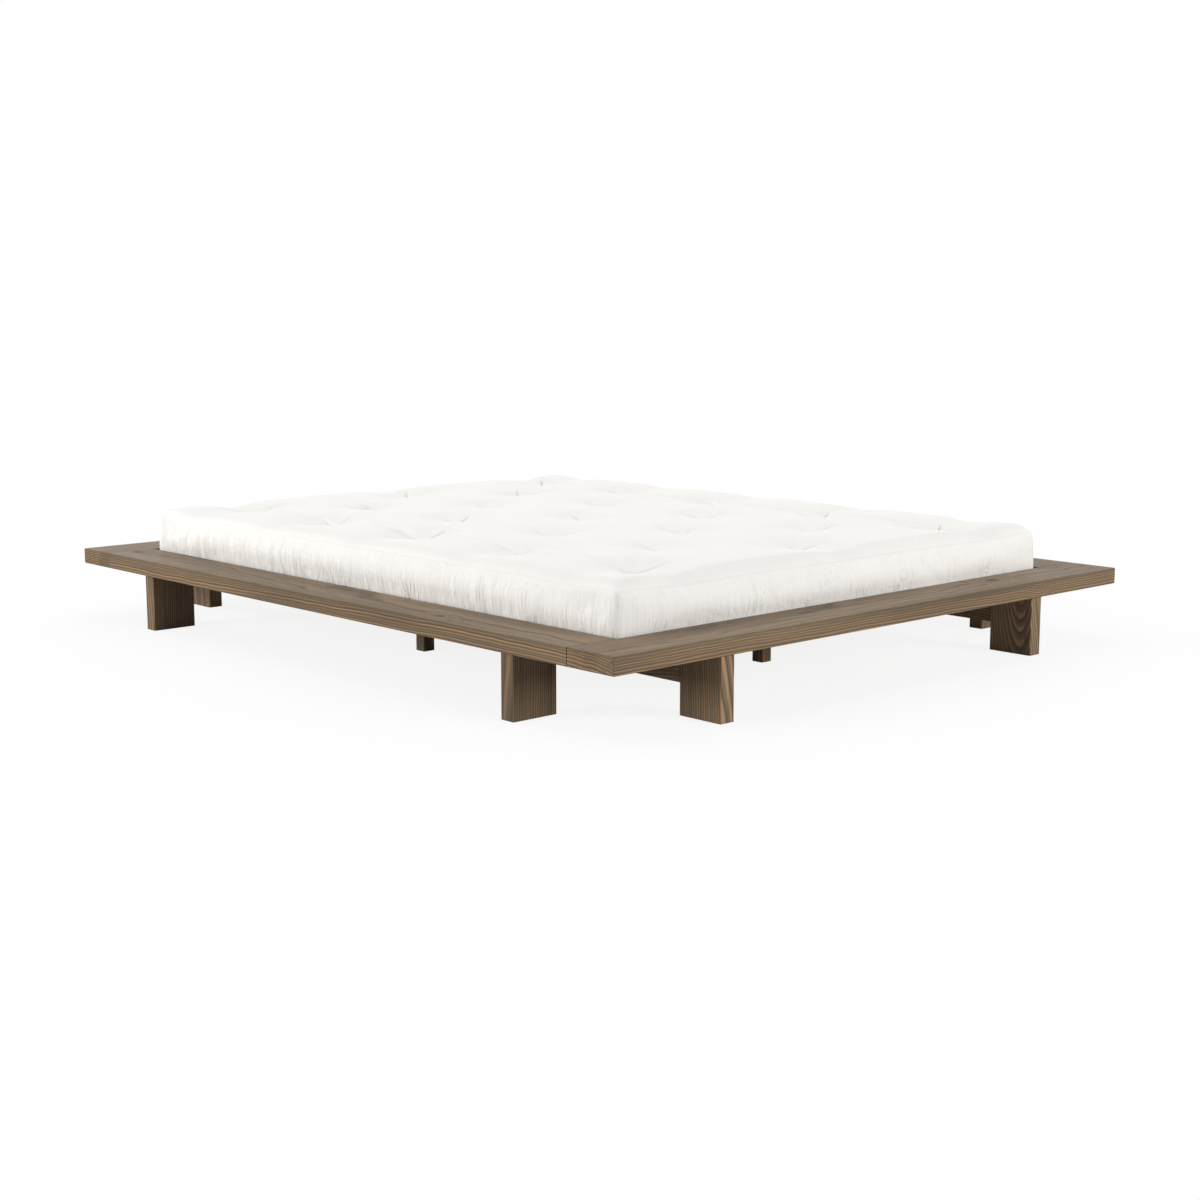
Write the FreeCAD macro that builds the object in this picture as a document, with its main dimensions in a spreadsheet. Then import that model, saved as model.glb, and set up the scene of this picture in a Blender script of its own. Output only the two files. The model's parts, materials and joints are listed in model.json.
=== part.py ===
import FreeCAD, Part
import math
import os
import Sketcher

# Low platform bed of stained pine boards, with eight plank legs, two long beams,
# a centre rail, a roll of slats and a tufted futon mattress that lies loose in the frame.
# Frame of the part: X across the bed, Y along it (the head end is +Y), Z up,
# with the origin on the floor under the middle of the bed. Millimetres.

SIZES = {
    # outer boards
    "bed_length": "2300",
    "bed_width": "1900",
    "frame_height": "200",
    "board_width": "150",
    "board_thickness": "44",
    "board_round": "4",
    # plank legs, two under each outer board, with a stub tenon up into the board
    "leg_width": "130",
    "leg_thickness": "44",
    "leg_round": "3",
    "end_leg_inset": "358",
    "side_leg_inset": "361",
    "leg_tenon_width": "80",
    "leg_tenon_thickness": "20",
    "leg_tenon_length": "20",
    # bolts that run up through the legs into the boards
    "bolt_diameter": "8",
    "bolt_head_diameter": "16",
    "bolt_head_height": "8",
    "bolt_reach": "32",
    "bolt_recess_diameter": "20",
    "bolt_recess_depth": "24",
    # long beams, tenoned into the legs of the end boards
    "beam_height": "80",
    "beam_round": "3",
    "beam_tenon_length": "30",
    "beam_tenon_height": "40",
    "beam_tenon_thickness": "20",
    "beam_tenon_rise": "12",
    # square posts beside the beams and under the centre rail
    "post_size": "36",
    "post_chamfer": "2",
    "post_tenon_size": "18",
    "post_tenon_length": "20",
    "beam_post_offset": "16",
    "centre_post_inset": "298",
    # centre rail, with tongues that lap under the end boards
    "rail_width": "36",
    "rail_height": "38",
    "rail_chamfer": "2",
    "rail_end_gap": "2",
    "tongue_length": "60",
    "tongue_thickness": "22",
    # ledges that carry the slat ends along the side boards
    "ledge_width": "75",
    "ledge_thickness": "22",
    "ledge_overlap": "50",
    "ledge_leg_gap": "10",
    "ledge_chamfer": "2",
    # slats and the two tapes that hold them together as a roll
    "slat_count": "16",
    "slat_width": "70",
    "slat_thickness": "18",
    "slat_chamfer": "2.5",
    "slat_side_gap": "5",
    "slat_end_gap": "12",
    "tape_width": "25",
    "tape_thickness": "1.2",
    "tape_spacing": "600",
    # loose tenons and steel plates at the corner joints
    "corner_tenon_width": "90",
    "corner_tenon_thickness": "12",
    "corner_tenon_length": "80",
    "plate_length": "120",
    "plate_width": "60",
    "plate_thickness": "3",
    "plate_corner": "6",
    "plate_hole_diameter": "5",
    "plate_hole_spacing": "84",
    "plate_hole_gauge": "30",
    # futon mattress
    "mattress_side_gap": "10",
    "mattress_boxing": "126",
    "mattress_crown": "18",
    "mattress_corner": "45",
    "mattress_draw": "6",
    "mattress_edge_roll": "16",
    "mattress_crown_width": "95",
    "tuft_side_margin": "215",
    "tuft_end_margin": "170",
    "tuft_diameter": "140",
    "tuft_pinch_diameter": "12",
    "tuft_depth": "18",
    # clearances
    "fit_clearance": "0.1",
    "soft_clearance": "0.3",
    "cut_overrun": "2",
}

# Steps in the rolled lower edge and in the crown of the mattress, and creases round a tuft
ROLL_STEPS = 3
CROWN_STEPS = 4
TUFT_CREASES = 8

ORIGIN = FreeCAD.Vector(0, 0, 0)
ACROSS = FreeCAD.Vector(1, 0, 0)
ALONG = FreeCAD.Vector(0, 1, 0)
UP = FreeCAD.Vector(0, 0, 1)
# How a bar, which is modelled lying along X, is turned about Z
LIES_ACROSS = FreeCAD.Rotation(UP, 0)
LIES_ALONG = FreeCAD.Rotation(UP, 90)
LIES_BACK = FreeCAD.Rotation(UP, -90)

SIDES = {"left": -1, "right": 1}
ENDS = {"foot": -1, "head": 1}
CENTRE_POSTS = {"foot": -1, "middle": 0, "head": 1}

# Sizes that follow from the driving ones, as expressions
UNDERSIDE = "(sizes.frame_height - sizes.board_thickness)"
OPENING_LENGTH = "(sizes.bed_length - 2 * sizes.board_width)"
OPENING_WIDTH = "(sizes.bed_width - 2 * sizes.board_width)"
SIDE_BOARD_X = "(sizes.bed_width - sizes.board_width) / 2"
END_BOARD_Y = "(sizes.bed_length - sizes.board_width) / 2"
BEAM_X = "(sizes.bed_width / 2 - sizes.end_leg_inset)"
SIDE_LEG_Y = "(sizes.bed_length / 2 - sizes.side_leg_inset)"
BEAM_LENGTH = "(sizes.bed_length - sizes.board_width - sizes.leg_width)"
LEDGE_LENGTH = f"(2 * {SIDE_LEG_Y} - sizes.leg_thickness - 2 * sizes.ledge_leg_gap)"
CENTRE_POST_STEP = f"({OPENING_LENGTH} / 2 - sizes.centre_post_inset)"
MATTRESS_REACH_X = f"({OPENING_WIDTH} / 2 - sizes.mattress_side_gap)"
MATTRESS_REACH_Y = f"({OPENING_LENGTH} / 2 - sizes.mattress_side_gap)"
SLAT_PITCH = (f"({OPENING_LENGTH} - 2 * sizes.slat_end_gap - sizes.slat_width)"
              " / (sizes.slat_count - 1)")

doc = FreeCAD.newDocument("futon_bed_frame")
sheet = doc.addObject("Spreadsheet::Sheet", "sizes")
for row, (alias, text) in enumerate(SIZES.items(), start=1):
    sheet.set(f"A{row}", alias)
    sheet.set(f"B{row}", text)
    sheet.setAlias(f"B{row}", alias)
doc.recompute()

parts = []


def number(expression):
    """The present value of an expression on the sheet."""
    return float(sheet.evalExpression(expression))


def origin_plane(body, role):
    """One of a body's own origin planes, found by its role."""
    return next(plane for plane in body.Origin.OriginFeatures if plane.Role == role)


def polygon(body, role, corners, offset="0"):
    """A closed sketch on an origin plane, with every corner bound to its two expressions."""
    sketch = body.newObject("Sketcher::SketchObject", "outline")
    sketch.AttachmentSupport = [(origin_plane(body, role), "")]
    sketch.MapMode = "FlatFace"
    sketch.setExpression("AttachmentOffset.Base.z", offset)
    points = [FreeCAD.Vector(number(x), number(y), 0) for x, y in corners]
    count = len(points)
    for index in range(count):
        sketch.addGeometry(Part.LineSegment(points[index], points[(index + 1) % count]), False)
    for index in range(count):
        sketch.addConstraint(Sketcher.Constraint("Coincident", index, 2, (index + 1) % count, 1))
    for index, (x, y) in enumerate(corners):
        for kind, axis, expression in (("DistanceX", -2, x), ("DistanceY", -1, y)):
            if expression == "0":
                sketch.addConstraint(Sketcher.Constraint("PointOnObject", index, 1, axis))
            else:
                bound = Sketcher.Constraint(kind, -1, 1, index, 1, number(expression))
                constraint = sketch.addConstraint(bound)
                sketch.setExpression(f"Constraints[{constraint}]", expression)
    return sketch


def rectangle(body, role, length, width, offset="0"):
    """A sketched rectangle about the origin of a plane."""
    x = f"({length}) / 2"
    y = f"({width}) / 2"
    corners = [(f"-{x}", f"-{y}"), (x, f"-{y}"), (x, y), (f"-{x}", y)]
    return polygon(body, role, corners, offset)


def pad(body, sketch, height):
    """A pad of a sketch, upwards from its plane."""
    feature = body.newObject("PartDesign::Pad", "pad")
    feature.Profile = sketch
    feature.setExpression("Length", height)
    return feature


def block(name, length, width, height):
    """A square-edged bar along X, centred over the origin, with its underside at zero."""
    body = doc.addObject("PartDesign::Body", name)
    pad(body, rectangle(body, "XY_Plane", length, width), height)
    return body


def edges_along(feature, directions):
    """Names of the edges of a feature that run along any of the given directions."""
    doc.recompute()
    names = []
    for index, edge in enumerate(feature.Shape.Edges, start=1):
        run = edge.tangentAt(edge.FirstParameter)
        if any(abs(run.dot(direction)) > math.cos(math.radians(1)) for direction in directions):
            names.append(f"Edge{index}")
    return names


def rounded(body, radius, *directions):
    """Round the edges of a body that run along the given directions."""
    base = body.Tip
    fillet = body.newObject("PartDesign::Fillet", "rounding")
    fillet.Base = (base, edges_along(base, directions))
    fillet.setExpression("Radius", radius)
    return body


def chamfered(body, size, *directions):
    """Chamfer the edges of a body that run along the given directions."""
    base = body.Tip
    chamfer = body.newObject("PartDesign::Chamfer", "easing")
    chamfer.Base = (base, edges_along(base, directions))
    chamfer.setExpression("Size", size)
    return body


def turned(name, profile):
    """A solid of revolution about Z, from a closed profile of radius and height."""
    body = doc.addObject("PartDesign::Body", name)
    sketch = polygon(body, "XZ_Plane", profile)
    feature = body.newObject("PartDesign::Revolution", "turning")
    feature.Profile = sketch
    feature.ReferenceAxis = (sketch, ["V_Axis"])
    return body


def place(item, x, y, z, turn=LIES_ACROSS):
    """Turn an object and bind its place to three expressions."""
    item.Placement = FreeCAD.Placement(ORIGIN, turn)
    for axis, expression in zip("xyz", (x, y, z)):
        item.setExpression(f"Placement.Base.{axis}", expression)


def copies(master, places):
    """Linked copies of a fastener or of a cutter, one at each place."""
    links = []
    for spot in places:
        link = doc.addObject("App::Link", f"{master.Name}_copy")
        link.LinkedObject = master
        link.LinkTransform = False
        place(link, *spot)
        links.append(link)
    return links


def group(links, name):
    """Several solids as one object."""
    compound = doc.addObject("Part::Compound", name)
    compound.Links = links
    return compound


def keep(item, label):
    """Name a finished sub-part and note it for writing."""
    item.Label = label
    parts.append(item)


def keep_cut(body, label, cuts):
    """Cut a piece and keep it. The cuts are pairs of a cutter and its places."""
    cutters = [link for cutter, places in cuts for link in copies(cutter, places)]
    cut = doc.addObject("Part::Cut", f"cut_{label}")
    cut.Base = body
    cut.Tool = group(cutters, f"cutters_{label}")
    doc.recompute()
    if cut.Shape.Volume >= body.Shape.Volume:
        raise RuntimeError(f"the cuts of {label} take nothing away")
    keep(cut, label)


# Places of the joints: each list serves the pieces that meet there and the fasteners in them

def end_leg_places(end, z, turn=LIES_ALONG):
    """The middle of each leg under an end board."""
    return [(f"{side} * {BEAM_X}", f"{end} * {END_BOARD_Y}", z, turn) for side in SIDES.values()]


def side_leg_places(side, z):
    """The middle of each leg under a side board."""
    return [(f"{side} * {SIDE_BOARD_X}", f"{end} * {SIDE_LEG_Y}", z, LIES_ACROSS)
            for end in ENDS.values()]


def corner_place(side, end, z):
    """The middle of the butt joint at one corner."""
    return (f"{side} * {SIDE_BOARD_X}", f"{end} * {OPENING_LENGTH} / 2", z, LIES_ACROSS)


def plate_hole_places(side, end):
    """Four holes in the plate under one corner, two on each side of the joint."""
    x, y, z, turn = corner_place(side, end, UNDERSIDE)
    xs = [f"{x} + {step} * sizes.plate_hole_gauge / 2" for step in (-1, 1)]
    ys = [f"{y} + {step} * sizes.plate_hole_spacing / 2" for step in (-1, 1)]
    return [(hole_x, hole_y, z, turn) for hole_x in xs for hole_y in ys]


def centre_post_place(step, z):
    """The middle of a post under the centre rail."""
    return ("0", f"{step} * {CENTRE_POST_STEP}", z, LIES_ACROSS)


CORNER_TENON_Z = f"{UNDERSIDE} + (sizes.board_thickness - sizes.corner_tenon_thickness) / 2"
CORNER_CUT_Z = f"{CORNER_TENON_Z} - sizes.fit_clearance"
RAIL_BOTTOM = f"({UNDERSIDE} - sizes.rail_height)"

# Cutters: each is the piece that fits in it, and the clearance

SPARE = "sizes.fit_clearance"


def loose(size):
    """A size with clearance on both sides of it."""
    return f"({size} + 2 * {SPARE})"


leg_mortise = block("leg_mortise", loose("sizes.leg_tenon_width"), loose("sizes.leg_tenon_thickness"),
                    f"sizes.leg_tenon_length + {SPARE}")
corner_mortise = block("corner_mortise", loose("sizes.corner_tenon_width"), loose("sizes.corner_tenon_length"),
                       loose("sizes.corner_tenon_thickness"))
post_mortise = block("post_mortise", loose("sizes.post_tenon_size"), loose("sizes.post_tenon_size"),
                     f"sizes.post_tenon_length + {SPARE}")

bolt_radius = "sizes.bolt_diameter / 2"
bolt_head_radius = "sizes.bolt_head_diameter / 2"
bolt_head_base = "sizes.bolt_recess_depth - sizes.bolt_head_height"
bolt_seat = "sizes.bolt_recess_depth"
bolt_end = f"{UNDERSIDE} + sizes.bolt_reach"
leg_bolt = turned("leg_bolt", [
    ("0", bolt_head_base), (bolt_head_radius, bolt_head_base), (bolt_head_radius, bolt_seat),
    (bolt_radius, bolt_seat), (bolt_radius, bolt_end), ("0", bolt_end)])

recess_radius = "sizes.bolt_recess_diameter / 2"
bolt_hole_radius = f"{bolt_radius} + {SPARE}"
bolt_hole_end = f"{bolt_end} + {SPARE}"
leg_bolt_hole = turned("leg_bolt_hole", [
    ("0", "-sizes.cut_overrun"), (recess_radius, "-sizes.cut_overrun"), (recess_radius, bolt_seat),
    (bolt_hole_radius, bolt_seat), (bolt_hole_radius, bolt_hole_end), ("0", bolt_hole_end)])

plate_hole_radius = "sizes.plate_hole_diameter / 2"
plate_hole_base = "-(sizes.plate_thickness + sizes.cut_overrun)"
plate_hole = turned("plate_hole", [
    ("0", plate_hole_base), (plate_hole_radius, plate_hole_base),
    (plate_hole_radius, "sizes.cut_overrun"), ("0", "sizes.cut_overrun")])

# Outer boards: the end boards run the full width, and the side boards butt between them

for end_name, end in ENDS.items():
    board = block(f"{end_name}_board_bar", "sizes.bed_width", "sizes.board_width", "sizes.board_thickness")
    rounded(board, "sizes.board_round", ACROSS, ALONG, UP)
    place(board, "0", f"{end} * {END_BOARD_Y}", UNDERSIDE)
    keep_cut(board, f"{end_name}_board", [
        (leg_mortise, end_leg_places(end, UNDERSIDE)),
        (leg_bolt_hole, end_leg_places(end, "0")),
        (corner_mortise, [corner_place(side, end, CORNER_CUT_Z) for side in SIDES.values()])])

for side_name, side in SIDES.items():
    board = block(f"{side_name}_side_board_bar", OPENING_LENGTH, "sizes.board_width", "sizes.board_thickness")
    rounded(board, "sizes.board_round", ACROSS)
    place(board, f"{side} * {SIDE_BOARD_X}", "0", UNDERSIDE, LIES_ALONG)
    keep_cut(board, f"{side_name}_side_board", [
        (leg_mortise, side_leg_places(side, UNDERSIDE)),
        (leg_bolt_hole, side_leg_places(side, "0")),
        (corner_mortise, [corner_place(side, end, CORNER_CUT_Z) for end in ENDS.values()])])


# Legs

def leg_bar(name):
    """A plank on its end, with its upright edges rounded and a stub tenon on top."""
    body = block(name, "sizes.leg_width", "sizes.leg_thickness", UNDERSIDE)
    rounded(body, "sizes.leg_round", UP)
    tenon = rectangle(body, "XY_Plane", "sizes.leg_tenon_width", "sizes.leg_tenon_thickness", UNDERSIDE)
    pad(body, tenon, "sizes.leg_tenon_length")
    return body


def cut_mortise(body):
    """A blind mortise in the edge of a leg that faces the bed, for the tenon of a beam."""
    wide = f"(sizes.beam_tenon_thickness / 2 + {SPARE})"
    low = f"({UNDERSIDE} - sizes.beam_height + sizes.beam_tenon_rise - {SPARE})"
    high = f"({low} + {loose('sizes.beam_tenon_height')})"
    corners = [(f"-{wide}", low), (wide, low), (wide, high), (f"-{wide}", high)]
    doc.recompute()
    whole = body.Shape.Volume
    sketch = polygon(body, "YZ_Plane", corners, "sizes.leg_width / 2")
    mortise = body.newObject("PartDesign::Pocket", "mortise")
    mortise.Profile = sketch
    mortise.setExpression("Length", f"sizes.beam_tenon_length + {SPARE}")
    doc.recompute()
    if body.Shape.Volume >= whole:
        raise RuntimeError(f"the mortise of {body.Name} cuts nothing")


for end_name, end in ENDS.items():
    inward = LIES_ALONG if end < 0 else LIES_BACK
    for side_name, spot in zip(SIDES, end_leg_places(end, "0", inward)):
        leg = leg_bar(f"{end_name}_{side_name}_leg_bar")
        cut_mortise(leg)
        place(leg, *spot)
        keep_cut(leg, f"{end_name}_board_{side_name}_leg", [(leg_bolt_hole, [spot])])

for side_name, side in SIDES.items():
    for end_name, spot in zip(ENDS, side_leg_places(side, "0")):
        leg = leg_bar(f"{side_name}_{end_name}_leg_bar")
        place(leg, *spot)
        keep_cut(leg, f"{side_name}_side_{end_name}_leg", [(leg_bolt_hole, [spot])])

# Long beams and the post beside the middle of each

for side_name, side in SIDES.items():
    beam = block(f"{side_name}_beam_bar", BEAM_LENGTH, "sizes.leg_thickness", "sizes.beam_height")
    rounded(beam, "sizes.beam_round", ACROSS)
    tenons = rectangle(beam, "XY_Plane", f"{BEAM_LENGTH} + 2 * sizes.beam_tenon_length",
                       "sizes.beam_tenon_thickness", "sizes.beam_tenon_rise")
    pad(beam, tenons, "sizes.beam_tenon_height")
    place(beam, f"{side} * {BEAM_X}", "0", f"{UNDERSIDE} - sizes.beam_height", LIES_ALONG)
    keep(beam, f"{side_name}_beam")

    post = block(f"{side_name}_beam_post_bar", "sizes.post_size", "sizes.post_size", UNDERSIDE)
    chamfered(post, "sizes.post_chamfer", UP)
    place(post, f"{side} * ({BEAM_X} - (sizes.leg_thickness + sizes.post_size) / 2)",
          f"{-side} * sizes.beam_post_offset", "0")
    keep(post, f"{side_name}_beam_post")

# Centre rail, its end tongues and its posts

rail = block("centre_rail_bar", f"{OPENING_LENGTH} - 2 * sizes.rail_end_gap", "sizes.rail_width",
             "sizes.rail_height")
chamfered(rail, "sizes.rail_chamfer", ACROSS)
tongues = rectangle(rail, "XY_Plane", f"{OPENING_LENGTH} + 2 * sizes.tongue_length",
                    "sizes.rail_width - 2 * sizes.rail_chamfer", "sizes.rail_height - sizes.tongue_thickness")
pad(rail, tongues, "sizes.tongue_thickness")
place(rail, "0", "0", RAIL_BOTTOM, LIES_ALONG)
keep_cut(rail, "centre_rail", [
    (post_mortise, [centre_post_place(step, RAIL_BOTTOM) for step in CENTRE_POSTS.values()])])

for name, step in CENTRE_POSTS.items():
    post = block(f"centre_post_{name}_bar", "sizes.post_size", "sizes.post_size", RAIL_BOTTOM)
    chamfered(post, "sizes.post_chamfer", UP)
    tenon = rectangle(post, "XY_Plane", "sizes.post_tenon_size", "sizes.post_tenon_size", RAIL_BOTTOM)
    pad(post, tenon, "sizes.post_tenon_length")
    place(post, *centre_post_place(step, "0"))
    keep(post, f"centre_post_{name}")

# Ledges under the side boards

for side_name, side in SIDES.items():
    ledge = block(f"{side_name}_slat_ledge_bar", LEDGE_LENGTH, "sizes.ledge_width", "sizes.ledge_thickness")
    chamfered(ledge, "sizes.ledge_chamfer", ACROSS)
    place(ledge, f"{side} * ({OPENING_WIDTH} / 2 + sizes.ledge_overlap - sizes.ledge_width / 2)", "0",
          f"{UNDERSIDE} - sizes.ledge_thickness", LIES_ALONG)
    keep(ledge, f"{side_name}_slat_ledge")

# Slats, and the tapes under them that make them a roll

for index in range(int(number("sizes.slat_count"))):
    slat = block(f"slat_bar_{index + 1:02d}", f"{OPENING_WIDTH} - 2 * sizes.slat_side_gap",
                 "sizes.slat_width", "sizes.slat_thickness")
    chamfered(slat, "sizes.slat_chamfer", ACROSS)
    place(slat, "0", f"({index} - (sizes.slat_count - 1) / 2) * {SLAT_PITCH}", UNDERSIDE)
    keep(slat, f"slat_{index + 1:02d}")

for side_name, side in SIDES.items():
    tape = doc.addObject("Part::Box", f"{side_name}_tape_strip")
    tape.setExpression("Length", "sizes.tape_width")
    tape.setExpression("Width", f"{OPENING_LENGTH} - 2 * sizes.slat_end_gap")
    tape.setExpression("Height", "sizes.tape_thickness")
    place(tape, f"{side} * sizes.tape_spacing / 2 - sizes.tape_width / 2",
          f"-({OPENING_LENGTH} / 2 - sizes.slat_end_gap)", f"{UNDERSIDE} - sizes.tape_thickness")
    keep(tape, f"{side_name}_slat_tape")

# Steel plates and loose tenons at the corner joints, and the leg bolts

corner_tenon = block("corner_tenon", "sizes.corner_tenon_width", "sizes.corner_tenon_length",
                     "sizes.corner_tenon_thickness")
corners = [(side_name, end_name) for side_name in SIDES for end_name in ENDS]
for side_name, end_name in corners:
    side = SIDES[side_name]
    end = ENDS[end_name]
    plate = block(f"{end_name}_{side_name}_plate_bar", "sizes.plate_width", "sizes.plate_length",
                  "sizes.plate_thickness")
    rounded(plate, "sizes.plate_corner", UP)
    place(plate, *corner_place(side, end, f"{UNDERSIDE} - sizes.plate_thickness"))
    keep_cut(plate, f"{end_name}_{side_name}_corner_plate", [(plate_hole, plate_hole_places(side, end))])

tenon_places = [corner_place(SIDES[side_name], ENDS[end_name], CORNER_TENON_Z)
                for side_name, end_name in corners]
keep(group(copies(corner_tenon, tenon_places), "corner_tenon_group"), "corner_tenons")

bolt_places = [spot for end in ENDS.values() for spot in end_leg_places(end, "0")]
bolt_places += [spot for side in SIDES.values() for spot in side_leg_places(side, "0")]
keep(group(copies(leg_bolt, bolt_places), "leg_bolt_group"), "leg_bolts")


# Futon mattress: a boxed pad with a crown, sides drawn in between the corners, and sewn tufts

def mattress_outline(inset, height):
    """One level outline of the mattress: four drawn-in sides and four rounded corners."""
    reach_x = number(MATTRESS_REACH_X) - inset
    reach_y = number(MATTRESS_REACH_Y) - inset
    corner = number("sizes.mattress_corner")
    draw = number("sizes.mattress_draw")
    slant = corner * (1 - math.sqrt(0.5))
    straight_x = reach_x - corner
    straight_y = reach_y - corner

    def arc(start, middle, end):
        """An arc at this level through three points."""
        return Part.Arc(*(FreeCAD.Vector(x, y, height) for x, y in (start, middle, end))).toShape()

    edges = []
    for half in (1, -1):
        right_low = (half * reach_x, -half * straight_y)
        right_high = (half * reach_x, half * straight_y)
        top_right = (half * straight_x, half * reach_y)
        top_left = (-half * straight_x, half * reach_y)
        edges.append(arc((half * straight_x, -half * reach_y),
                         (half * (reach_x - slant), -half * (reach_y - slant)), right_low))
        edges.append(arc(right_low, (half * (reach_x - draw), 0), right_high))
        edges.append(arc(right_high, (half * (reach_x - slant), half * (reach_y - slant)), top_right))
        edges.append(arc(top_right, (0, half * (reach_y - draw)), top_left))
    return Part.Wire(edges)


def mattress_levels():
    """Outlines from the bottom up: the rolled lower edge, the boxing, then the crown."""
    roll = number("sizes.mattress_edge_roll")
    boxing = number("sizes.mattress_boxing")
    crown = number("sizes.mattress_crown")
    crown_width = number("sizes.mattress_crown_width")
    outlines = []
    for step in range(ROLL_STEPS + 1):
        turn = math.radians(90 * step / ROLL_STEPS)
        outlines.append(mattress_outline(roll * (1 - math.sin(turn)), roll * (1 - math.cos(turn))))
    for step in range(CROWN_STEPS + 1):
        turn = math.radians(90 * step / CROWN_STEPS)
        outlines.append(mattress_outline(crown_width * (1 - math.cos(turn)), boxing + crown * math.sin(turn)))
    return outlines


def tuft_places():
    """Rows of three tufts, with pairs between the rows."""
    column = number(f"{MATTRESS_REACH_X} - sizes.tuft_side_margin")
    line = number(f"({MATTRESS_REACH_Y} - sizes.tuft_end_margin) / 2")
    threes = [(across * column, along * line) for across in (-1, 0, 1) for along in (-2, -1, 0, 1, 2)]
    pairs = [(across * column / 2, along * line / 2) for across in (-1, 1) for along in (-3, -1, 1, 3)]
    return threes + pairs


def tuft_cutter(x, y, surface):
    """The hollow that a tuft draws into the top: creases that run from its pinch to its rim."""
    depth = number("sizes.tuft_depth")
    pinch = number("sizes.tuft_pinch_diameter / 2")
    rim = number("sizes.tuft_diameter / 2")
    overrun = number("sizes.cut_overrun")
    slope = (rim - pinch) / depth

    def ring(radius, height):
        """Points round the tuft, one at each crease, and the first again."""
        turns = [2 * math.pi * crease / TUFT_CREASES for crease in range(TUFT_CREASES + 1)]
        return [FreeCAD.Vector(x + radius * math.cos(turn), y + radius * math.sin(turn), height)
                for turn in turns]

    low = ring(pinch, surface - depth)
    high = ring(rim + slope * overrun, surface + overrun)
    walls = [[low[crease], low[crease + 1], high[crease + 1], high[crease], low[crease]]
             for crease in range(TUFT_CREASES)]
    faces = [Part.Face(Part.makePolygon(points)) for points in [low, high] + walls]
    return Part.Solid(Part.Shell(faces))


surface = number("sizes.mattress_boxing + sizes.mattress_crown")
tufts = [tuft_cutter(x, y, surface) for x, y in tuft_places()]
mattress = doc.addObject("Part::Feature", "mattress_pad")
mattress.Shape = Part.makeLoft(mattress_levels(), True, True).cut(Part.makeCompound(tufts))
place(mattress, "0", "0", f"{UNDERSIDE} + sizes.slat_thickness + sizes.soft_clearance")
keep(mattress, "futon_mattress")

# Check everything, then write the sub-parts

doc.recompute()
for item in doc.Objects:
    if "Invalid" in item.State or "Error" in item.State:
        raise RuntimeError(f"{item.Label} failed: {item.State}")
for part in parts:
    if part.Shape.isNull() or not part.Shape.isValid() or not part.Shape.Solids:
        raise RuntimeError(f"{part.Label} has no valid shape")

os.makedirs("parts", exist_ok=True)
for part in parts:
    part.Shape.exportStep(os.path.join("parts", f"{part.Label}.step"))
print(f"{len(parts)} sub-parts written")
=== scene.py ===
"""Looks of a low futon bed: stained pine boards, a slat roll, fasteners and a tufted cotton mattress."""

import json
import logging
import math
import random
from dataclasses import dataclass, field
from enum import Enum
from typing import Any, Union

import bmesh
import bpy
import numpy as np
from mathutils import Matrix, Vector, noise


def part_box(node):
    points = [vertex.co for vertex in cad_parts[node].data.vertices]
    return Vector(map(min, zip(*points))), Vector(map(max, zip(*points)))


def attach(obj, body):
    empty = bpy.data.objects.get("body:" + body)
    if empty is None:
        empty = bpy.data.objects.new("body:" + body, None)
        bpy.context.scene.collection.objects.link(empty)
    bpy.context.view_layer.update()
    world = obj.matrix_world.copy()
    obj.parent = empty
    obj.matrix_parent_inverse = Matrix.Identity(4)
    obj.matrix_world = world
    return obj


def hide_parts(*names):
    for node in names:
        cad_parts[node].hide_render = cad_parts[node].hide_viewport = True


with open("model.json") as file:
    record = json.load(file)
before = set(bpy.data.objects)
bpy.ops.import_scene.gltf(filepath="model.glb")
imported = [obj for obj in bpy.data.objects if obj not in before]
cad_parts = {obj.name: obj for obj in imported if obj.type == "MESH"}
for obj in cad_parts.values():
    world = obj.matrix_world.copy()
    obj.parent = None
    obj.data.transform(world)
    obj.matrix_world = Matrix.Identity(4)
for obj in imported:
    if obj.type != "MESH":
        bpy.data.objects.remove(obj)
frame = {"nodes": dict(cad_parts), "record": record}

LOG = logging.getLogger("futon_bed")
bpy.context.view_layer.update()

Colour = tuple[float, float, float]
Point = tuple[float, float, float]
Span = tuple[float, float]


class Slot(Enum):
    """Material slots of the bed's record."""

    STAINED = "stained_pine"
    PLANED = "slat_pine"
    BEECH = "tenon_beech"
    STEEL = "zinc_steel"
    WEBBING = "webbing"
    COTTON = "cotton_cover"


SLOT_OF = {part["node"]: Slot(part["material_slot"]) for part in frame["record"]["subparts"]}


# Shader building

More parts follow.
